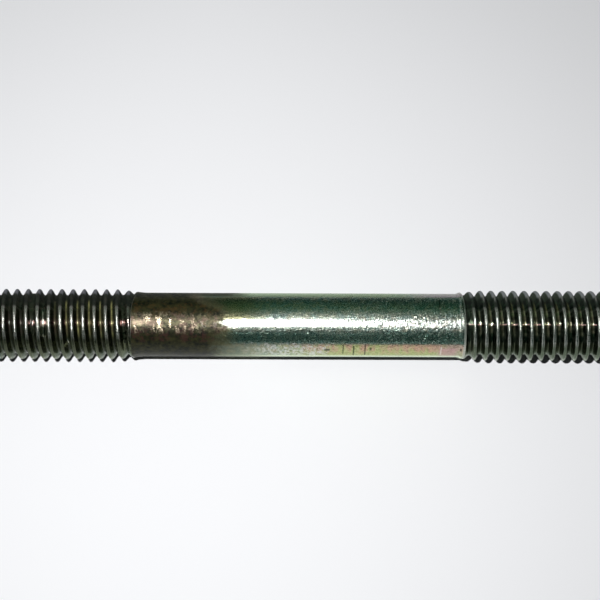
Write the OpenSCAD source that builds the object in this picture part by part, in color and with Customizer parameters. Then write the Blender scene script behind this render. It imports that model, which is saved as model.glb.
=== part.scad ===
// Double-ended stud: one steel rod with a rolled right-hand metric thread at
// each end and a plain shank between them, reduced to the thread's pitch
// diameter. The rod lies along X with its middle at X = 0, and rests on its
// thread crests at Z = 0.

/* [Rod] */
// Length over both end faces
overall_len = 80; // [60:0.5:120]
// Length of each threaded end, from its end face to its shoulder
thread_len = 22; // [14:0.25:26]
// Diameter of the plain shank
shank_d = 7.2; // [7:0.05:7.3]

/* [Thread] */
// Nominal diameter that the thread's profile is worked out from
nominal_d = 8; // [7.9:0.01:8.1]
// Distance from one crest to the next
pitch = 1.25; // [1.15:0.01:1.35]
// Included angle between the two flanks of a groove
flank_angle = 60; // [58:0.5:62]
// Diameter over the finished crests, a little under nominal
crest_d = 7.86; // [7.7:0.01:7.96]
// Radius of the rounded bottom of the groove
root_r = 0.18; // [0.14:0.01:0.2]
// Angle about X to which the right-hand end's thread is turned
right_start_angle = 150; // [-180:15:180]
// Angle about X to which the left-hand end's thread is turned
left_start_angle = 135; // [-180:15:180]

/* [Run-out] */
// Length over which the thread grows to its full depth beside the shoulder
runout_len = 2.2; // [1:0.1:4]
// Share of the full depth that the thread already has at the shoulder
runout_start = 0.4; // [0.2:0.05:0.6]

/* [Shoulder] */
// Height of the ring of metal that rolling pushes up at each shoulder
ring_h = 0.12; // [0.06:0.01:0.2]
// Length over which the shank swells up to that ring
ring_len = 1.2; // [0.6:0.1:3]
// Angle of the ring's face on the thread's side, from the rod's axis
ring_face_angle = 50; // [40:1:70]

/* [Ends] */
// Diameter of the flat face at each end
end_face_d = 6.2; // [5.6:0.05:6.3]
// Angle of the chamfer around that face, from the rod's axis
chamfer_angle = 45; // [30:1:60]

/* [Resolution] */
// Number of straight sides that one turn of the thread is drawn with
thread_sides = 24; // [16:2:28]

/* [Hidden] */

plated_steel = [0.38, 0.42, 0.38];

// Radii of the rod.
crest_r = crest_d / 2;
shank_r = shank_d / 2;
end_face_r = end_face_d / 2;
ring_r = shank_r + ring_h;

// The thread's profile. The flanks meet the pitch cylinder half a pitch apart,
// and the groove's bottom is an arc that both flanks run into.
half_angle = flank_angle / 2;
pitch_r = nominal_d / 2 - 3 / 16 * pitch / tan(half_angle);
groove_apex_r = pitch_r - pitch / 4 / tan(half_angle);
arc_centre_r = groove_apex_r + root_r / sin(half_angle);
groove_r = arc_centre_r - root_r;
tangent_r = arc_centre_r - root_r * sin(half_angle);
tangent_x = root_r * cos(half_angle);
crest_half = pitch / 4 - (crest_r - pitch_r) * tan(half_angle);

// One pitch of the profile as [distance from the groove's centre, radius].
PROFILE = [
    [0, groove_r],
    [tangent_x, tangent_r],
    [pitch / 2 - crest_half, crest_r],
    [pitch / 2 + crest_half, crest_r],
    [pitch - tangent_x, tangent_r],
];

// A turn's flats, and not its corners, lie on the thread's true diameter.
side_step = 360 / thread_sides;
corner_scale = 1 / cos(side_step / 2);

// The threaded ends start at the shoulders, with a plain core that is seated
// inside the shank, and are drawn past the end faces, where the blank trims them.
shoulder_x = overall_len / 2 - thread_len;
seat_depth = 0.6;
seat_r = groove_r - 0.1;
overrun = 0.6;
thread_turns = ceil((thread_len + overrun) / pitch);

// The blank's outline, cut back by the chamfers at its ends.
blank_r = crest_r * corner_scale + 0.1;
chamfer_x = (blank_r - end_face_r) / tan(chamfer_angle);

// How much of its depth the thread has, at a distance x past the shoulder.
function depth_share(x) =
    min(1, max(0, runout_start + (1 - runout_start) * x / runout_len));

// The rolled surface's radius where the full thread would have radius r.
function rolled_r(x, r) = shank_r + depth_share(x) * (r - shank_r);

// A point at a distance x along the axis and at side number i of the turn.
function on_side(x, r, i) =
    let (a = (i + 0.5) * side_step, rc = r * corner_scale)
    [x, rc * cos(a), rc * sin(a)];

// Point j of the profile at side number i of the helix. The groove moves one
// pitch along +X for each turn about +X, which makes the thread right-hand.
function helix_point(i, j) =
    let (x = (i + 0.5) / thread_sides * pitch - pitch / 2 + PROFILE[j][0])
    on_side(x, rolled_r(x, PROFILE[j][1]), i);

// One threaded end as a closed body with its core, from the shoulder at X = 0
// along +X.
module thread_body() {
    n = thread_sides;
    m = len(PROFILE);
    last = thread_turns * n;
    start_x = -pitch - seat_depth;
    end_x = (thread_turns + 1.5) * pitch;

    grid = [for (i = [0 : last]) for (j = [0 : m - 1]) helix_point(i, j)];
    start_ring = [for (i = [0 : n - 1]) on_side(start_x, seat_r, i)];
    end_ring = [for (i = [0 : n - 1]) on_side(end_x, seat_r, i)];

    function g(i, j) = i * m + j;
    function s(i) = len(grid) + i % n;
    function e(i) = len(grid) + n + i % n;

    // Along the helix, and from each turn to the next one.
    strips = [
        for (i = [0 : last - 1]) for (j = [0 : m - 2])
            each [[g(i, j), g(i + 1, j + 1), g(i + 1, j)],
                  [g(i, j), g(i, j + 1), g(i + 1, j + 1)]],
        for (i = [0 : last - n - 1])
            each [[g(i, m - 1), g(i + n + 1, 0), g(i + 1, m - 1)],
                  [g(i, m - 1), g(i + n, 0), g(i + n + 1, 0)]],
    ];
    // From the flat start to the first turn, closed by a fan at its step.
    start_column = [s(0), for (j = [0 : m - 1]) g(0, j), g(n, 0)];
    start_faces = [
        [for (i = [0 : n - 1]) s(i)],
        for (i = [0 : n - 2])
            each [[s(i), g(i + 1, 0), s(i + 1)], [s(i), g(i, 0), g(i + 1, 0)]],
        [s(n - 1), g(n - 1, 0), s(0)],
        for (k = [0 : len(start_column) - 2])
            [g(n - 1, 0), start_column[k + 1], start_column[k]],
    ];
    // From the last turn to the flat end, closed in the same way.
    end_column = [g(last - n, m - 1), for (j = [0 : m - 1]) g(last, j), e(0)];
    end_faces = [
        [for (i = [n - 1 : -1 : 0]) e(i)],
        for (i = [last - n + 1 : last - 1])
            each [[g(i, m - 1), e(i + 1), g(i + 1, m - 1)],
                  [g(i, m - 1), e(i), e(i + 1)]],
        [e(0), e(1), g(last - n + 1, m - 1)],
        for (k = [0 : len(end_column) - 2])
            [g(last - n + 1, m - 1), end_column[k], end_column[k + 1]],
    ];
    polyhedron(concat(grid, start_ring, end_ring),
               concat(strips, start_faces, end_faces), convexity = 10);
}

// A body of revolution about X from points given as [x, radius].
module turned(points) {
    rotate([0, 90, 0])
        rotate([0, 0, 90])
            rotate_extrude($fn = 96)
                polygon([for (p = points) [p[1], p[0]]]);
}

// The rod's outline with its chamfered ends, as large as the crests.
module blank() {
    end_x = overall_len / 2;
    turned([
        [-end_x, 0], [-end_x, end_face_r], [-end_x + chamfer_x, blank_r],
        [end_x - chamfer_x, blank_r], [end_x, end_face_r], [end_x, 0],
    ]);
}

// The plain shank, which swells into a raised ring at each shoulder.
module shank() {
    swell = [for (k = [0 : 4]) [
        shoulder_x - ring_len * (1 - k / 4),
        shank_r + ring_h * (1 - cos(45 * k)) / 2,
    ]];
    face_x = shoulder_x + (ring_r - seat_r) / tan(ring_face_angle);
    turned([
        [0, 0], [-face_x, 0], [-face_x, seat_r],
        for (k = [4 : -1 : 0]) [-swell[k][0], swell[k][1]],
        each swell,
        [face_x, seat_r], [face_x, 0],
    ]);
}

module stud() {
    color(plated_steel)
        translate([0, 0, crest_r]) {
            shank();
            intersection() {
                union() {
                    translate([shoulder_x, 0, 0])
                        rotate([right_start_angle, 0, 0])
                            thread_body();
                    rotate([0, 0, 180])
                        translate([shoulder_x, 0, 0])
                            rotate([left_start_angle, 0, 0])
                                thread_body();
                }
                blank();
            }
        }
}

stud();
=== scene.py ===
import math

import bmesh
import bpy
import numpy as np
from mathutils import Matrix, Vector


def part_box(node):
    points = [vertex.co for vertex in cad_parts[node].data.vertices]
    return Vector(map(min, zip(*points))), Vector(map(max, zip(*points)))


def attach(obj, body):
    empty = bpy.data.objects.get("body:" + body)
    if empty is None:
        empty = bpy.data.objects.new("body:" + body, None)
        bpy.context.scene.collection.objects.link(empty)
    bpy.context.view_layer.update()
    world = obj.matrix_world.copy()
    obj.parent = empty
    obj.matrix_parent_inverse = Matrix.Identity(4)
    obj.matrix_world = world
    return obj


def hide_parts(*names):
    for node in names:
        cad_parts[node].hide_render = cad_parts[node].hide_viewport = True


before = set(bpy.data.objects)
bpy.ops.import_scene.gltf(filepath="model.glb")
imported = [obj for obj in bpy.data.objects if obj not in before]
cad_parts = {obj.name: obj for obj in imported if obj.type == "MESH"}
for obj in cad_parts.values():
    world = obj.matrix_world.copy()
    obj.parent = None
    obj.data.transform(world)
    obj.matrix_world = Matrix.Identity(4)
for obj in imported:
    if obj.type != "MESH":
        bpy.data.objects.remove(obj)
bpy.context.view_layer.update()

# ---------------------------------------------------------------------------
# The blank
# The stud starts as a cold-drawn steel rod, with its middle reduced to the
# thread's pitch diameter and its ends cut flat and chamfered. Rolling the
# threads pushes up a low ring of metal at each shoulder.
# ---------------------------------------------------------------------------
MM = 0.001
node_low, node_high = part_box("stud")
half_len = node_high.x / MM
axis_z = (node_low.z + node_high.z) / 2
crest_r = (node_high.z - node_low.z) / 2 / MM
shank_r = 3.57
left_shoulder_x = -18.5
right_shoulder_x = 17.87
left_ring_h = 0.08
right_ring_h = 0.15
left_ring_len = 1.2
right_ring_len = 0.6
ring_top_len = 0.1
ring_face_slope = math.tan(math.radians(50))
end_face_r = 3.1
chamfer_slope = 1.0
edge_round = 0.06

# Both shoulders stand a little further out on one side of the rod. The side is
# given in degrees about the rod, with how far from it the change reaches.
wander_middle = 136
wander_full = 45
wander_gone = 90
left_wander = 0.33
right_wander = 0.18


def smooth_step(start, end, value):
    """0 before start, 1 after end, and a smooth rise between them."""
    t = np.clip((value - start) / (end - start), 0.0, 1.0)
    return t * t * (3 - 2 * t)


def soft_min(a, b, reach):
    """The lower of a and b, rounded over where they are within reach of each other."""
    h = np.clip(1 - np.abs(a - b) / reach, 0.0, 1.0)
    return np.minimum(a, b) - h * h * reach / 4


def angle_from(angle, degrees):
    """How far an angle about the rod is from a place on it, in degrees."""
    return np.abs((np.degrees(angle) - degrees + 180) % 360 - 180)


def past_shoulder(x):
    """How far a place along the rod is beyond the nearer shoulder."""
    return np.maximum(x - right_shoulder_x, left_shoulder_x - x)


def shank_radius(x, angle):
    """The plain shank, its swell up to the raised ring, and the ring's far face."""
    wander = smooth_step(wander_gone, wander_full, angle_from(angle, wander_middle))
    past = past_shoulder(x) - wander * np.where(x > 0, right_wander, left_wander)
    ring_h = np.where(x > 0, right_ring_h, left_ring_h)
    ring_len = np.where(x > 0, right_ring_len, left_ring_len)
    swell = shank_r + ring_h * smooth_step(-ring_len, -ring_top_len, past)
    far_face = shank_r + ring_h - past * ring_face_slope
    return soft_min(swell, far_face, edge_round)


def chamfer_radius(x):
    """The cone that takes the edge off both end faces."""
    return end_face_r + (half_len - np.abs(x)) * chamfer_slope


# ---------------------------------------------------------------------------
# The rolled threads
# Two dies press a 1.25 mm pitch right-hand thread into each end. The metal
# that leaves the grooves rises into the crests, which end up gently rounded,
# and the thread fades out over nearly two turns beside each shoulder.
# ---------------------------------------------------------------------------
pitch = 1.25
nominal_r = 4.0
half_angle = math.radians(30)
flank_tan = math.tan(half_angle)
pitch_r = nominal_r - 3 / 16 * pitch / flank_tan
root_arc_r = 0.18
arc_centre_r = pitch_r - pitch / 4 / flank_tan + root_arc_r / math.sin(half_angle)
crest_round = 0.16
runout_len = 2.2
runout_start = 0.4
left_crest_x = -19.43
right_crest_x = 19.96
turns_between = 32
kept_turns = 3.0


def thread_radius(share, crest):
    """The full thread at a share of the way from one crest to the next."""
    from_crest = np.minimum(share, 1 - share) * pitch
    from_root = pitch / 2 - from_crest
    flank = pitch_r + (pitch / 4 - from_crest) / flank_tan
    in_arc = np.clip(root_arc_r**2 - from_root**2, 0, None)
    arc = arc_centre_r - np.sqrt(in_arc)
    groove = np.where(from_root < root_arc_r * math.cos(half_angle), arc, flank)
    return soft_min(groove, crest, crest_round)


def runout_depth(x):
    """The share of its full depth that the thread has at a place along the rod."""
    grown = runout_start + (1 - runout_start) * past_shoulder(x) / runout_len
    return np.clip(grown, 0, 1)


def axial_place(turn):
    """Where a turn of the crest's helix is along the rod. Both threads keep their
    pitch for a few turns past their last crest, and the plain shank takes up what
    is over between them."""
    over = right_crest_x - left_crest_x - turns_between * pitch
    share = smooth_step(kept_turns, turns_between - kept_turns, turn)
    return left_crest_x + turn * pitch + over * share


# ---------------------------------------------------------------------------
# Knocks on the threads
# The steel crests have worn a little unevenly in use. On the left end two
# grooves have metal pushed into them, and on the right end one crest has a
# small dent.
# ---------------------------------------------------------------------------
wear_depth = 0.012
ridge_drop = 0.9
ridge_fade = 10


def waviness(angle, turn):
    """The uneven wear, between about -1 and 1: three waves of different lengths,
    each out of step from one turn to the next."""
    long_wave = np.sin(5 * angle + 2.1 * turn)
    middle_wave = np.sin(9 * angle - 3.7 * turn + 1.3)
    short_wave = np.sin(14 * angle + 5.3 * turn + 4.0)
    return (long_wave + middle_wave + short_wave) / 3


def pushed_metal(place, after_crest, start, end, top_r, sharpness):
    """A ridge in the groove after one crest, from one angle about the rod to another.
    A place is given by its crest, its share of the way to the next, and its angle.
    Crests are counted from the left thread's last one, which is 0."""
    crest_count, share, angle = place
    past_end = angle_from(angle, (start + end) / 2) - (end - start) / 2
    dropped = ridge_drop * smooth_step(-ridge_fade, ridge_fade, past_end)
    ridge = top_r - dropped - sharpness * ((share - 0.5) * pitch) ** 2
    return np.where(crest_count == after_crest, ridge, 0.0)


def dent(x, angle, at_x, at_degrees, width, depth):
    """How deep a small round dent is at a place on the thread."""
    beside = np.radians(angle_from(angle, at_degrees)) * crest_r
    return depth * np.exp(-((x - at_x)**2 + beside**2) / width**2)


# ---------------------------------------------------------------------------
# The stud
# Shank, rings and threads are one piece of steel, so the stud is one closed
# mesh. Its rows follow the thread's helix from end to end, and both ends are
# trimmed flat, as the blank's are cut.
# ---------------------------------------------------------------------------
sides = 64
rows = 18
row_crowding = 0.5
spare_turns = 2
groove_overlap = 0.3
join_round = 0.05

# In metres: how near the cut a point is moved onto it, and is taken as on it.
cut_tolerance = 1e-7
on_cut = 1e-6


def soft_max(a, b, reach):
    """The higher of a and b, rounded into each other where they are close."""
    return -soft_min(-a, -b, reach)


def rod_radius(x, turn, share, angle, crest_count):
    """The finished stud's radius at a place along it and at an angle about it."""
    crest = crest_r + wear_depth * waviness(angle, turn)
    rolled = shank_r + runout_depth(x) * (thread_radius(share, crest) - shank_r)
    place = (crest_count, share, angle)
    sharp_ridge = pushed_metal(place, after_crest=-8, start=84, end=142,
                               top_r=3.72, sharpness=9.0)
    flat_ridge = pushed_metal(place, after_crest=-9, start=10, end=140,
                              top_r=3.44, sharpness=0.5)
    rolled = soft_max(rolled, sharp_ridge, join_round)
    rolled = soft_max(rolled, flat_ridge, join_round)
    rolled = rolled - dent(x, angle, at_x=27.25, at_degrees=56, width=0.16, depth=0.16)
    rolled = np.where(past_shoulder(x) > -groove_overlap, rolled, 0.0)
    outside = soft_max(shank_radius(x, angle), rolled, join_round)
    return soft_min(outside, chamfer_radius(x), edge_round)


def row_place(row):
    """Share of a pitch at which a row lies: closer together on crests and roots."""
    even = row / rows
    return even - row_crowding * np.sin(4 * np.pi * even) / (4 * np.pi)


def rod_mesh():
    """The stud's skin, wound along the helix from before one end to past the other."""
    first = math.floor((-half_len - left_crest_x) / pitch - spare_turns) * sides
    last = math.ceil((half_len - left_crest_x) / pitch + spare_turns) * sides
    step, row = np.meshgrid(np.arange(first, last + 1), np.arange(rows), indexing="ij")
    angle = (step % sides) * (2 * np.pi / sides)
    share = row_place(row)
    turn = step / sides + share
    x = axial_place(turn)
    radius = rod_radius(np.clip(x, -half_len, half_len), turn, share, angle, step // sides)
    points = np.stack([x, radius * np.cos(angle), radius * np.sin(angle)], axis=-1)
    points = points * MM + np.array([0, 0, axis_z])

    index = np.arange(step.size).reshape(step.shape)
    a, b, c, d = index[:-1, :-1], index[1:, :-1], index[1:, 1:], index[:-1, 1:]
    along_turn = np.stack([a, d, c, b], axis=-1).reshape(-1, 4)
    a, b = index[:-sides - 1, -1], index[1:-sides, -1]
    c, d = index[sides + 1:, 0], index[sides:-1, 0]
    between_turns = np.stack([a, d, c, b], axis=-1)
    faces = np.concatenate([along_turn, between_turns])
    mesh = bpy.data.meshes.new("stud_body")
    mesh.from_pydata(points.reshape(-1, 3).tolist(), [], faces.tolist())
    return mesh


def trim_end(bm, side):
    """Cuts the rod flat at one end, and closes it with a face."""
    cut = Vector((side * half_len * MM, 0, 0))
    geometry = bm.verts[:] + bm.edges[:] + bm.faces[:]
    bmesh.ops.bisect_plane(bm, geom=geometry, dist=cut_tolerance, plane_co=cut,
                           plane_no=Vector((side, 0, 0)), clear_outer=True)
    rim = [e for e in bm.edges if e.is_boundary and abs(e.verts[0].co.x - cut.x) < on_cut]
    cap = bmesh.ops.contextual_create(bm, geom=rim)["faces"]
    for face in cap:
        face.smooth = False


stud_mesh = rod_mesh()
bm = bmesh.new()
bm.from_mesh(stud_mesh)
for face in bm.faces:
    face.smooth = True
trim_end(bm, 1)
trim_end(bm, -1)
bmesh.ops.recalc_face_normals(bm, faces=bm.faces[:])
bmesh.ops.triangulate(bm, faces=[f for f in bm.faces if len(f.verts) > 4])
bm.to_mesh(stud_mesh)
bm.free()
stud = bpy.data.objects.new("plated_stud", stud_mesh)
bpy.context.scene.collection.objects.link(stud)
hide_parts("stud")
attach(stud, "root")

# ---------------------------------------------------------------------------
# The plating
# A thin zinc coat is laid on the rolled steel in a bath. It has dulled to a
# mottled green-grey. Soft bands along the rod are painted highlight and shade
# by the lamp's glint, and its dimpled grain glitters more towards the right
# shoulder, partly as painted glitter.
# ---------------------------------------------------------------------------


def start_nodes(owner):
    """Empties a material's or world's node tree, which the helpers then add to."""
    global tree
    owner.use_nodes = True
    tree = owner.node_tree
    tree.nodes.clear()


def add(kind):
    """A new node of one kind in that tree."""
    return tree.nodes.new("ShaderNode" + kind)


def put(socket, value):
    """Feeds a socket with another node's output or with a plain value."""
    if isinstance(value, bpy.types.NodeSocket):
        tree.links.new(value, socket)
    else:
        socket.default_value = value


def linear(red, green, blue):
    """A colour given in 0 to 255 as the shader's own linear values."""
    def one(value):
        v = value / 255
        return v / 12.92 if v <= 0.04045 else ((v + 0.055) / 1.055) ** 2.4
    return (one(red), one(green), one(blue), 1.0)


def calc(operation, *values):
    """One step of arithmetic."""
    n = add("Math")
    n.operation = operation
    for socket, value in zip(n.inputs, values):
        put(socket, value)
    return n.outputs[0]


def plus(first, second):
    return calc("ADD", first, second)


def minus(first, second):
    return calc("SUBTRACT", first, second)


def times(first, *others):
    for other in others:
        first = calc("MULTIPLY", first, other)
    return first


def most(first, *others):
    """The highest of some values."""
    for other in others:
        first = calc("MAXIMUM", first, other)
    return first


def rise(value, start, end, low=0.0, high=1.0):
    """low before start, high after end, and a smooth change between them."""
    n = add("MapRange")
    n.interpolation_type = "SMOOTHSTEP"
    put(n.inputs["Value"], value)
    put(n.inputs["From Min"], start)
    put(n.inputs["From Max"], end)
    put(n.inputs["To Min"], low)
    put(n.inputs["To Max"], high)
    return n.outputs["Result"]


def band(value, low, high, soft):
    """1 between low and high, and 0 from soft beyond them."""
    return times(rise(value, low - soft, low), rise(value, high + soft, high))


def noise(vector, scale, detail=2.0, roughness=0.5, distortion=0.0):
    """An uneven pattern, between 0 and 1."""
    n = add("TexNoise")
    put(n.inputs["Vector"], vector)
    put(n.inputs["Scale"], scale)
    put(n.inputs["Detail"], detail)
    put(n.inputs["Roughness"], roughness)
    put(n.inputs["Distortion"], distortion)
    return n.outputs["Fac"]


def blend(share, first, second):
    """A mix of two values, or of two colours, with a share of the second."""
    n = add("Mix")
    colours = isinstance(second, tuple) or getattr(second, "type", "") == "RGBA"
    n.data_type = "RGBA" if colours else "FLOAT"
    kind = "_Color" if colours else "_Float"
    a, b = [s for s in n.inputs if s.identifier in ("A" + kind, "B" + kind)]
    put(n.inputs[0], share)
    put(a, first)
    put(b, second)
    return next(s for s in n.outputs if s.identifier == "Result" + kind)


def split(vector):
    """A vector's three parts."""
    n = add("SeparateXYZ")
    put(n.inputs[0], vector)
    return n.outputs


plating = bpy.data.materials.new("plated_steel")
start_nodes(plating)

# The surface's own coordinates: millimetres along the rod and out from its axis,
# and degrees round it from the side that faces up and forward. All the places
# of marks and bands below are given in them.
front_tilt_degrees = 26
front_tilt = math.radians(front_tilt_degrees)
from_axis = add("VectorMath")
from_axis.operation = "MULTIPLY_ADD"
put(from_axis.inputs[0], add("TexCoord").outputs["Object"])
put(from_axis.inputs[1], (1 / MM, 1 / MM, 1 / MM))
put(from_axis.inputs[2], (0, 0, -axis_z / MM))
surface = from_axis.outputs[0]
along, across, above = split(surface)
towards_front = minus(times(above, math.cos(front_tilt)), times(across, math.sin(front_tilt)))
towards_back = plus(times(above, math.sin(front_tilt)), times(across, math.cos(front_tilt)))
around = calc("DEGREES", calc("ARCTAN2", towards_back, towards_front))
out = calc("SQRT", plus(times(above, above), times(across, across)))

# How far a place is past each shoulder, whose edge wanders as on the mesh.
wander_around = 90 + front_tilt_degrees - wander_middle
wander = band(around, wander_around - wander_full, wander_around + wander_full,
              wander_gone - wander_full)
past_right = minus(minus(along, right_shoulder_x), times(wander, right_wander))
past_left = minus(minus(left_shoulder_x, times(wander, left_wander)), along)
on_thread = most(rise(past_right, 0.14, 0.20), rise(past_left, -0.05, 0.02))
on_shank = minus(1.0, on_thread)

# The zinc is mottled in two tints, both greener to the right. The band where
# the lamp's glint falls is kept out of the greener tint, a painted highlight.
mottle = noise(surface, 1.6, 4.0, 0.65)
greener_off_glint = times(rise(along, 0.0, 13.0), minus(1.0, band(around, -10, 16, 8)))
dull_green = blend(greener_off_glint, linear(128, 152, 146), linear(94, 130, 118))
dull_grey = blend(greener_off_glint, linear(172, 172, 150), linear(150, 154, 134))
plate = blend(rise(mottle, 0.40, 0.60), dull_green, dull_grey)

# Soft bands of other tints run along the rod where the lamp's glint and the
# dim studio show in the metal: a teal tint in the dark band below the glint is
# a painted reflection, paler bands in and just above the glint are painted
# highlight, and darker lines beside it and darker bands above and below it are
# painted shade.
highlight_pale = linear(206, 214, 204)
glint_edge_shade = linear(84, 96, 90)
shade_under_glint = times(band(around, -5, -3, 2), rise(along, -6, 2, 0.1, 0.4))
shade_below_glint = times(band(around, -11, -4, 3), rise(along, 2, 12, 0.7, 0.3))
shade_above_glint = times(band(around, 40, 58, 6), rise(along, 0, 8, 0.0, 0.45))
plate = blend(times(band(around, -30, -14, 8), 0.7), plate, linear(110, 152, 136))
plate = blend(times(band(around, -1, 9, 7), 0.5), plate, linear(196, 190, 188))
plate = blend(times(band(around, 11, 15, 3), 0.4), plate, glint_edge_shade)
plate = blend(shade_under_glint, plate, glint_edge_shade)
plate = blend(times(band(around, 19, 27, 5), 0.3), plate, highlight_pale)
plate = blend(shade_below_glint, plate, linear(84, 90, 82))
plate = blend(shade_above_glint, plate, linear(84, 110, 100))

# Painted glitter: specks of pale and dark colour in the grain stand in for
# facets that catch the lamp or face away from it.
glitter_noise = noise(surface, 7.5, 1.0)
glitter_share = times(on_shank, rise(along, -9, 12, 0.35, 0.9))
plate = blend(times(glitter_share, rise(glitter_noise, 0.54, 0.66), 0.7), plate, highlight_pale)
plate = blend(times(glitter_share, rise(glitter_noise, 0.48, 0.36)), plate, linear(84, 104, 96))

# ---------------------------------------------------------------------------
# The chromate film
# The plated stud is dipped to seal the zinc, which leaves a very thin film on
# it. Low on the near side the film shows patches of yellow-green and pink, and
# on the far side it is green with a mauve end.
# ---------------------------------------------------------------------------


def stretched(vector, x, y, z):
    """The same place measured with longer or shorter units along each axis."""
    n = add("VectorMath")
    n.operation = "MULTIPLY"
    put(n.inputs[0], vector)
    put(n.inputs[1], (x, y, z))
    return n.outputs[0]


# The degrees round the rod, made uneven so that patches have ragged borders.
uneven_degrees = 50.0
unevenness = minus(noise(surface, 2.4, 3.0, 0.6), 0.5)
uneven_around = plus(around, times(unevenness, uneven_degrees))

pink_patches = plus(noise(stretched(surface, 1.3, 0.4, 0.4), 1.0, 3.0, 0.6),
                    rise(along, 9.0, 12.0, 0.0, 0.10))
pink = times(rise(pink_patches, 0.40, 0.62), rise(uneven_around, -68, -44))
speckle = noise(surface, 4.0, 3.0, 0.7)
film_tint = blend(pink, linear(182, 190, 124), linear(204, 164, 138))
film_tint = blend(rise(along, 14.0, 17.0, 0.0, 0.55), film_tint, linear(174, 160, 156))
film_tint = blend(times(rise(speckle, 0.52, 0.64), 0.4), film_tint, linear(214, 206, 180))
film_tint = blend(times(rise(speckle, 0.48, 0.38), 0.45), film_tint, linear(120, 120, 90))
lower_band = times(rise(around, -32, -39), rise(along, -7, 5, 0.0, 0.88))
plate = blend(lower_band, plate, film_tint)

mauve_spot = times(rise(around, -42, -48), band(along, 15.6, 16.9, 0.6), 0.5)
# A pale line along the lowest edge is a painted reflection of the lit sheet.
sheet_reflection_edge = times(rise(around, -67, -73), rise(along, -14, -8, 0.5, 0.85))
plate = blend(mauve_spot, plate, linear(198, 148, 158))
plate = blend(sheet_reflection_edge, plate, linear(238, 246, 226))
# The underside is painted dark, a painted shade.
plate = blend(rise(around, -77, -82), plate, linear(60, 66, 58))

far_band = band(around, 64, 110, 5)
plate = blend(times(far_band, rise(along, 13, 9, 0.0, 0.9)), plate, linear(134, 152, 122))
plate = blend(times(far_band, rise(along, 11, 15, 0.0, 0.9)), plate, linear(160, 146, 156))

# ---------------------------------------------------------------------------
# Wear on the shank
# Rubbing has left a pale worn patch low on the near side of the zinc, and
# knocks have cut a few short dark ticks across it. On the right ring's top a
# pale line is painted as its highlight, beside a thin dark line of painted shade.
# ---------------------------------------------------------------------------
mark_edge = 0.04
mark_end_degrees = 2


def mark(at_along, half_width, low_around, high_around):
    """A small mark across the rod, from one angle about it to another."""
    beside = calc("ABSOLUTE", minus(along, at_along))
    return times(rise(beside, half_width + mark_edge, half_width),
                 band(around, low_around, high_around, mark_end_degrees))


rubs = noise(stretched(surface, 2.6, 1.8, 2.4), 1.0, 4.0, 0.74)
worn_patch = times(band(uneven_around, -64, -42, 6), band(along, -6.0, 2.6, 0.8))
plate = blend(times(worn_patch, rise(rubs, 0.46, 0.57), 0.85), plate, linear(208, 210, 204))
plate = blend(times(worn_patch, rise(rubs, 0.46, 0.40), 0.6), plate, linear(104, 110, 92))

long_ticks = most(mark(4.62, 0.05, -61, -37), mark(5.79, 0.07, -66, -40),
                  mark(7.06, 0.05, -66, -37))
specks = most(mark(2.85, 0.28, -51, -47), mark(7.67, 0.10, -49, -44),
              mark(17.7, 0.08, -50, -45))
upper_tick = mark(15.3, 0.04, 31, 54)
ticks = times(most(long_ticks, specks, upper_tick), 0.75)
plate = blend(ticks, plate, linear(30, 36, 26))

# A thin dark line just inside the ring's top is painted shade.
from_line = calc("ABSOLUTE", plus(past_right, 0.17))
ring_shade_line = times(rise(from_line, 0.09, 0.04), band(around, -20, 40, 10), 0.8)
plate = blend(ring_shade_line, plate, linear(24, 30, 24))
# The ring's top is painted pale and made dull, a painted highlight.
ring_highlight = rise(past_right, -0.13, -0.06)
plate = blend(times(ring_highlight, rise(around, 34, 20), 0.8), plate, linear(186, 190, 180))
ring_highlight_film = times(ring_highlight, band(around, -66, 0, 12), 0.35)
pale_tick = times(mark(15.5, 0.05, -65, -42), 0.7)
plate = blend(pale_tick, plate, linear(220, 214, 206))

# ---------------------------------------------------------------------------
# The brown stain
# Where the left end of the shank was handled and rusted, a dark film covers
# the plating. It is nearly black, with olive and red-brown patches, and
# glints of metal where it has rubbed through.
# ---------------------------------------------------------------------------
ragged_reach = 2.4
raggedness = minus(noise(surface, 2.2, 4.0, 0.65), 0.5)
ragged_along = plus(along, times(raggedness, ragged_reach))

# Beside the stain the zinc is tarnished.
low_fade = times(rise(around, -32, -39), rise(along, -2, -6), 0.6)
plate = blend(low_fade, plate, linear(146, 150, 124))
tarnish_above = times(band(around, 14, 56, 7), rise(ragged_along, -3.0, -7.0, 0.0, 0.75))
tarnish_below = times(band(around, -36, -8, 6), rise(ragged_along, -6.5, -9.0, 0.0, 0.7))
plate = blend(most(tarnish_above, tarnish_below), plate, linear(136, 132, 90))

# Its edge is sharpest on the upper side, and over the back it lies further left.
from_tip = calc("ABSOLUTE", minus(around, 6.0))
stain_edge = minus(rise(around, 18, 66, -8.3, -10.4), times(band(around, 3, 6, 5), 0.5))
softness = rise(from_tip, 8, 40, 0.6, 2.6)
stain = rise(minus(ragged_along, stain_edge), softness, times(softness, -1.0))
stain_below = times(rise(around, -24, -36), rise(ragged_along, -3.0, -10.5, 0.0, 0.72))
stain_over_top = times(rise(around, 54, 68), rise(ragged_along, -5.0, -8.5, 0.0, 0.92))
stain = most(stain, stain_below, stain_over_top)

# It is rubbed through in short streaks across the rod, and beside the shoulder.
streaks = rise(noise(stretched(surface, 2.2, 0.7, 0.7), 1.0, 3.0, 0.6), 0.50, 0.62)
broken_up = rise(noise(surface, 5.0, 2.0, 0.6), 0.35, 0.6)
rubbed_through = times(streaks, broken_up, band(around, -8, 16, 10),
                       rise(along, -10.0, -16.0, 0.15, 0.6))
worn_end = times(band(around, 2, 6, 8), rise(along, -15.5, -18.0, 0.0, 0.15))
rubbed_through = times(most(rubbed_through, worn_end), rise(past_left, -0.15, -0.35))
stain = times(stain, minus(1.0, rubbed_through))
under_stain = blend(rise(along, -10.5, -12), plate, linear(206, 190, 162))
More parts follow.
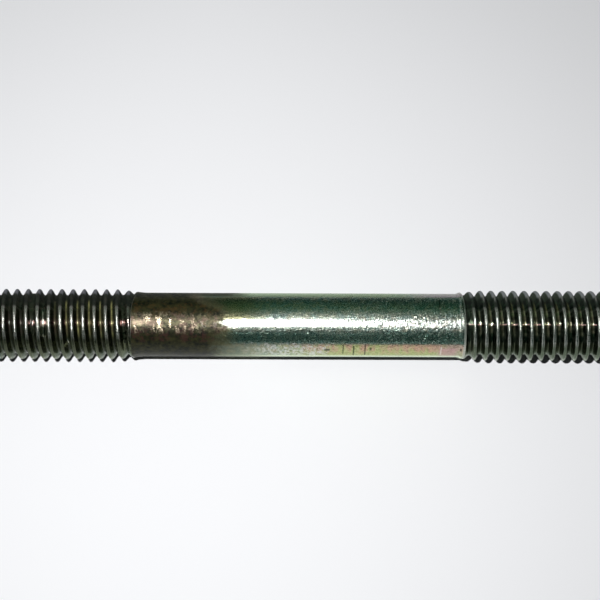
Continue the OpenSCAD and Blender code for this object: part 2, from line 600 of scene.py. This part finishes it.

# Its own colours, with a thinner and paler film in the band where the lamp's
# glint falls, a painted sheen.
blotches = noise(surface, 1.5, 4.0, 0.7)
rust = rise(noise(surface, 1.3, 4.0, 0.7), 0.44, 0.60)
rusty = times(rust, band(around, -26, 0, 10), rise(along, -7, -12, 0.4, 0.75))
warm = times(rise(noise(surface, 1.0, 4.0, 0.7), 0.56, 0.40), band(uneven_around, 16, 32, 10))
sheen_patches = rise(noise(surface, 2.2, 4.0, 0.7), 0.30, 0.62, 0.35, 1.0)
stain_sheen = times(band(uneven_around, 0, 12, 12), sheen_patches)
sheen_brown = blend(rust, linear(84, 80, 60), linear(94, 78, 68))
stain_and_sheen_color = blend(rise(blotches, 0.32, 0.68), linear(5, 9, 4), linear(46, 45, 24))
stain_and_sheen_color = blend(rusty, stain_and_sheen_color, linear(56, 33, 30))
stain_and_sheen_color = blend(times(warm, 0.6), stain_and_sheen_color, linear(68, 52, 28))
stain_and_sheen_color = blend(stain_sheen, stain_and_sheen_color, sheen_brown)

# ---------------------------------------------------------------------------
# Grime, wear and painted shade on the threads
# The plated flanks are dark with old oil. The crests are rubbed bright, and
# the left end is dirtier and browner than the right. The lower side, the
# underside and the far side are also painted darker as shade, and some glints
# are painted in.
# ---------------------------------------------------------------------------
left_end = rise(along, 0.5, -0.5)
right_end = minus(1.0, left_end)
facing_right = split(add("NewGeometry").outputs["Normal"])[0]
right_flank = rise(facing_right, 0.2, 0.6)
flank = times(on_thread, rise(out, crest_r - 0.08, crest_r - 0.22))
root = rise(out, arc_centre_r - 0.10, arc_centre_r - 0.16)
lower_side_shade = blend(left_end, band(around, -64, -40, 14), band(around, -70, -28, 14))

# The bare metal, painted darker on the lower side and dark underneath:
# painted shade.
crest_metal = blend(left_end, linear(186, 188, 180), linear(194, 192, 184))
shaded_low_crest = blend(left_end, linear(94, 104, 88), linear(80, 84, 68))
crest_metal = blend(lower_side_shade, crest_metal, shaded_low_crest)
crest_metal = blend(rise(around, -75, -83), crest_metal, linear(40, 44, 38))
flank_metal = blend(left_end, linear(88, 98, 84), linear(92, 96, 78))
shaded_low_flank = blend(left_end, linear(58, 62, 48), linear(82, 86, 66))
flank_metal = blend(lower_side_shade, flank_metal, shaded_low_flank)
# On the left end the flanks are tinted pink in the band where the glint falls, a painted tint of the
# glint.
flank_metal = blend(times(left_end, band(around, -1, 8, 4)), flank_metal, linear(114, 98, 94))
flank_metal = blend(rise(around, -60, -70), flank_metal, linear(28, 30, 25))
root_glint_metal = blend(left_end, linear(200, 194, 160), linear(98, 82, 76))
thread_metal = blend(flank, crest_metal, flank_metal)
# The roots get paler metal only in the band where the glint falls, a painted highlight.
thread_metal = blend(times(root, band(around, -12, 24, 12)), thread_metal, root_glint_metal)

# A rubbed groove on the left end, and a slanting scratch beside it.
scratch_slant = 0.0215
slanted = plus(along, times(plus(around, 39.0), scratch_slant))
scratch = times(rise(calc("ABSOLUTE", plus(slanted, 25.67)), 0.1, 0.03),
                band(around, -50, -29, 3))
rubbed = most(mark(-28.44, 0.06, -22, 28), scratch)
thread_metal = blend(rubbed, thread_metal, linear(214, 214, 196))

# The oily dirt, in black and green-grey. Over the far side the thread is
# painted dull and dark, a painted shade, except part of the right end's crests.
oil_black = linear(2, 8, 5)
oil_grey = blend(left_end, linear(18, 27, 19), linear(27, 34, 24))
oil_green = blend(left_end, linear(24, 44, 28), linear(40, 36, 30))
dirt_and_painted_light = blend(rise(noise(surface, 1.3, 3.0, 0.6), 0.35, 0.65), oil_black, oil_grey)
dirt_and_painted_light = blend(rise(noise(surface, 2.6, 4.0, 0.7), 0.52, 0.66), dirt_and_painted_light, oil_green)
far_side_shade_share = blend(left_end, rise(around, 66, 52, 0.6, 0.98), 0.98)
far_side_shade = times(rise(around, 22, 35), far_side_shade_share)
unshaded_crest = times(rise(out, crest_r - 0.05, crest_r - 0.01), right_end,
                    rise(around, 40, 54, 0.0, 0.4))
grime_patches = rise(noise(surface, 2.0, 4.0, 0.65), 0.38, 0.60)
dirt_and_painted_light_share = times(grime_patches, blend(flank, 0.15, blend(left_end, 0.4, 1.0)))
dirt_and_painted_light_share = times(dirt_and_painted_light_share, blend(times(right_flank, left_end), 1.0, 0.15))
dirt_and_painted_light_share = most(dirt_and_painted_light_share, times(far_side_shade, minus(1.0, unshaded_crest)))
dirt_and_painted_light_share = most(dirt_and_painted_light_share, times(root, left_end, 0.75))
dirt_and_painted_light_share = times(dirt_and_painted_light_share, minus(1.0, rubbed))

# Olive lines painted dull in the roots, on the side facing the lamp, are a
# painted glint of the roots.
olive_glint_patches = rise(noise(surface, 0.7, 2.0, 0.5), 0.35, 0.6, 0.5, 1.0)
olive_root_glint = times(rise(out, arc_centre_r - 0.13, arc_centre_r - 0.17), band(around, -14, 42, 18))
olive_root_glint = times(olive_root_glint, olive_glint_patches, rise(along, -28, -25), blend(left_end, 0.15, 0.7))
dirt_and_painted_light_share = times(most(dirt_and_painted_light_share, olive_root_glint), on_thread)

# The far side's crest tops are painted pale, a painted sheen.
far_side = blend(left_end, rise(around, 52, 62), rise(around, 58, 66))
far_crest_sheen = times(rise(out, crest_r - 0.28, crest_r - 0.12), far_side)
far_crest_pale = blend(left_end, linear(122, 126, 130), linear(112, 112, 120))
dirt_and_painted_light_share = most(dirt_and_painted_light_share, times(far_crest_sheen, 0.9))
dirt_and_painted_light = blend(far_crest_sheen, dirt_and_painted_light, far_crest_pale)
dirt_and_painted_light = blend(olive_root_glint, dirt_and_painted_light, linear(134, 132, 84))

# A thin pinkish line painted along the right end's flanks is a painted glint.
flank_glint_line = times(band(around, 2.4, 3.8, 0.8), rise(past_right, 0.3, 0.6), flank,
                 rise(noise(surface, 2.0), 0.42, 0.54))
dirt_and_painted_light_share = most(dirt_and_painted_light_share, flank_glint_line)
dirt_and_painted_light = blend(flank_glint_line, dirt_and_painted_light, linear(176, 142, 138))
thread_color = blend(dirt_and_painted_light_share, thread_metal, dirt_and_painted_light)

# ---------------------------------------------------------------------------
# The finished surface
# Plating, stain and grime are one skin on the steel: bright metal where it is
# bare and dull where dirt, painted shade or painted sheen covers it, over a
# fine grain. The end faces are clean, with the marks of the tool that turned them.
# ---------------------------------------------------------------------------
end_face = rise(calc("ABSOLUTE", along), half_len - 0.02, half_len - 0.005)
face_color = blend(rise(mottle, 0.35, 0.65), linear(138, 148, 140), linear(176, 180, 168))
color = blend(stain, under_stain, stain_and_sheen_color)
color = blend(on_thread, color, thread_color)
color = blend(end_face, color, face_color)

stain_and_sheen_film = times(stain, stain, stain, blend(stain_sheen, 0.93, 0.45))
film = blend(on_thread, most(stain_and_sheen_film, ring_highlight_film), times(dirt_and_painted_light_share, dirt_and_painted_light_share))
film = times(film, minus(1.0, end_face))

grit = rise(noise(surface, 18.0, 1.0, 0.5), 0.42, 0.58)
thread_roughness = blend(flank, blend(grit, 0.17, 0.38), blend(left_end, 0.09, 0.20))
thread_roughness = blend(rise(around, 31, 46), thread_roughness, 0.8)
plate_roughness = blend(grit, 0.17, 0.36)
stain_roughness = blend(grit, rise(along, -12, -17, 0.42, 0.34), 0.50)
stain_roughness = blend(rise(around, 50, 70), stain_roughness, 0.65)
roughness = blend(stain, plate_roughness, stain_roughness)
roughness = blend(on_thread, roughness, thread_roughness)
roughness = blend(end_face, roughness, 0.42)

grain = times(noise(surface, 4.5, 3.0, 0.65), blend(on_thread, 1.0, blend(flank, 1.6, 0.2)))
scratches = calc("ABSOLUTE", minus(noise(surface, 1.5, 3.0, 0.6, 1.5), 0.5))
dimples = times(noise(surface, 5.5, 1.0), rise(along, -9.0, 14.0, 0.6, 1.2), on_shank)
pits = times(rise(noise(surface, 4.2, 1.0), 0.60, 0.74), rise(along, -6.0, 12.0, 0.3, 1.6), on_shank)
turning_marks = times(calc("SINE", times(out, 48.0)), end_face, 0.2)
height = plus(grain, times(scratches, rise(along, 9.0, 13.0), 0.6))
height = plus(height, plus(dimples, pits))
height = plus(height, turning_marks)
grain_depth = 0.03 * MM
bump = add("Bump")
put(bump.inputs["Strength"], 1.0)
put(bump.inputs["Distance"], grain_depth)
put(bump.inputs["Height"], height)

glint_tint = (0.92, 1.0, 0.88, 1.0)
dirt_ior = 1.3
shader = add("BsdfPrincipled")
put(shader.inputs["Base Color"], color)
put(shader.inputs["Metallic"], minus(1.0, film))
put(shader.inputs["Roughness"], roughness)
put(shader.inputs["Specular Tint"], glint_tint)
put(shader.inputs["IOR"], dirt_ior)
put(shader.inputs["Normal"], bump.outputs[0])
put(add("OutputMaterial").inputs["Surface"], shader.outputs[0])
stud_mesh.materials.append(plating)

# ---------------------------------------------------------------------------
# The floor
# A plain pale sheet of paper that the stud lies on. Metal shows it only as far
# as the sheet reaches, and the dark studio beyond it. From afar the floor runs
# into the backdrop's own pale grey.
# ---------------------------------------------------------------------------
floor_half = 1.5
sheet_front = -0.036
sheet_back = 0.05
front_fade = 0.002
back_fade = 0.01
backdrop_starts = 0.05
backdrop_full = 0.16
paper_color = (0.93, 0.935, 0.955, 1.0)
dark_studio = (0.015, 0.030, 0.024, 1.0)
backdrop_color = (0.86, 0.88, 0.88, 1.0)


def mixed(share, first, second):
    """A mix of two shaders, with a share of the second."""
    n = add("MixShader")
    put(n.inputs[0], share)
    put(n.inputs[1], first.outputs[0])
    put(n.inputs[2], second.outputs[0])
    return n


floor_mesh = bpy.data.meshes.new("floor")
corners = [(-floor_half, -floor_half, 0), (floor_half, -floor_half, 0),
           (floor_half, floor_half, 0), (-floor_half, floor_half, 0)]
floor_mesh.from_pydata(corners, [], [(0, 1, 2, 3)])
floor = bpy.data.objects.new("floor", floor_mesh)
bpy.context.scene.collection.objects.link(floor)

paper = bpy.data.materials.new("pale_sheet")
start_nodes(paper)
seen_by_camera = add("LightPath").outputs["Is Camera Ray"]
floor_place = add("TexCoord").outputs["Object"]
floor_back = split(floor_place)[1]
off_sheet = most(rise(floor_back, sheet_front, sheet_front - front_fade),
                 rise(floor_back, sheet_back, sheet_back + back_fade))
from_stud = add("VectorMath")
from_stud.operation = "LENGTH"
put(from_stud.inputs[0], floor_place)
far_off = rise(from_stud.outputs["Value"], backdrop_starts, backdrop_full)
lit_paper = add("BsdfDiffuse")
put(lit_paper.inputs["Color"], paper_color)
beyond_sheet = add("Emission")
put(beyond_sheet.inputs["Color"], dark_studio)
far_floor = add("Emission")
put(far_floor.inputs["Color"], backdrop_color)
sheet = mixed(times(off_sheet, minus(1.0, seen_by_camera)), lit_paper, beyond_sheet)
whole_floor = mixed(times(far_off, seen_by_camera), sheet, far_floor)
put(add("OutputMaterial").inputs["Surface"], whole_floor.outputs[0])
floor_mesh.materials.append(paper)

# ---------------------------------------------------------------------------
# The light
# One small soft lamp stands just above and to the left of the camera. The
# studio round it is dim, so that the metal shows dark bands beside its glint,
# and only its walls at the back are pale.
# ---------------------------------------------------------------------------
lamp_distance = 0.155
lamp_elevation = math.radians(71.5)
lamp_side = -0.019
lamp_aim = Vector((-0.010, 0.048, 0))
lamp = bpy.data.lights.new("key", "AREA")
lamp.shape = "DISK"
lamp.size = 0.0025
lamp.energy = 0.185
lamp.spread = math.radians(150)
lamp_object = bpy.data.objects.new("key", lamp)
bpy.context.scene.collection.objects.link(lamp_object)
lamp_place = Vector((lamp_side, -lamp_distance * math.cos(lamp_elevation),
                     axis_z + lamp_distance * math.sin(lamp_elevation)))
lamp_object.location = lamp_place
lamp_object.rotation_mode = "QUATERNION"
lamp_object.rotation_quaternion = (lamp_aim - lamp_place).to_track_quat("-Z", "Y")

upper_studio = (0.004, 0.012, 0.010, 1.0)
lower_studio = (0.012, 0.045, 0.037, 1.0)
ceiling_color = (0.07, 0.17, 0.10, 1.0)
light_on_paper = (0.04, 0.042, 0.042, 1.0)
rear_wall_color = (0.35, 0.36, 0.35, 1.0)
world = bpy.data.worlds.new("studio")
bpy.context.scene.world = world
start_nodes(world)
rays = add("LightPath").outputs
to_right, to_back, to_top = split(add("TexCoord").outputs["Generated"])
studio = blend(rise(to_top, 0.7, 0.4), upper_studio, lower_studio)
ceiling = times(rise(to_top, 0.15, 0.85), rise(to_back, 0.05, 0.45))
studio = blend(ceiling, studio, ceiling_color)
studio = blend(rays["Is Diffuse Ray"], studio, light_on_paper)
rear_walls = times(rise(calc("ABSOLUTE", to_right), 0.35, 0.65), rise(to_back, 0.0, 0.3))
studio = blend(times(rear_walls, rays["Is Glossy Ray"]), studio, rear_wall_color)
studio = blend(rays["Is Camera Ray"], studio, backdrop_color)
background = add("Background")
put(background.inputs["Color"], studio)
put(background.inputs["Strength"], 1.0)
put(add("OutputWorld").inputs["Surface"], background.outputs[0])

# ---------------------------------------------------------------------------
# The camera
# It looks down on the stud from the front at 64 degrees, close enough that
# both threaded ends run out of its view.
# ---------------------------------------------------------------------------
camera_distance = 0.1744
camera_yaw = 0.0114
camera_roll = 0.0039
aim_along = -0.00015
aim_above = 0.00281
side = Vector((1, 0, 0))
back = Vector((0, -math.sin(front_tilt), math.cos(front_tilt)))
up = back.cross(side)
target = Vector((aim_along, 0, axis_z)) + up * aim_above
right = math.cos(camera_yaw) * side + math.sin(camera_yaw) * back
back = math.cos(camera_yaw) * back - math.sin(camera_yaw) * side
right, up = (math.cos(camera_roll) * right + math.sin(camera_roll) * up,
             math.cos(camera_roll) * up - math.sin(camera_roll) * right)
camera_data = bpy.data.cameras.new("camera")
camera_data.lens = 93.1
camera_data.sensor_width = 36
camera_data.clip_start = 0.01
camera = bpy.data.objects.new("camera", camera_data)
bpy.context.scene.collection.objects.link(camera)
camera.matrix_world = Matrix.Translation(target + back * camera_distance) @ Matrix(
    (right, up, back)).transposed().to_4x4()
bpy.context.scene.camera = camera
bpy.context.scene.view_settings.view_transform = "Standard"
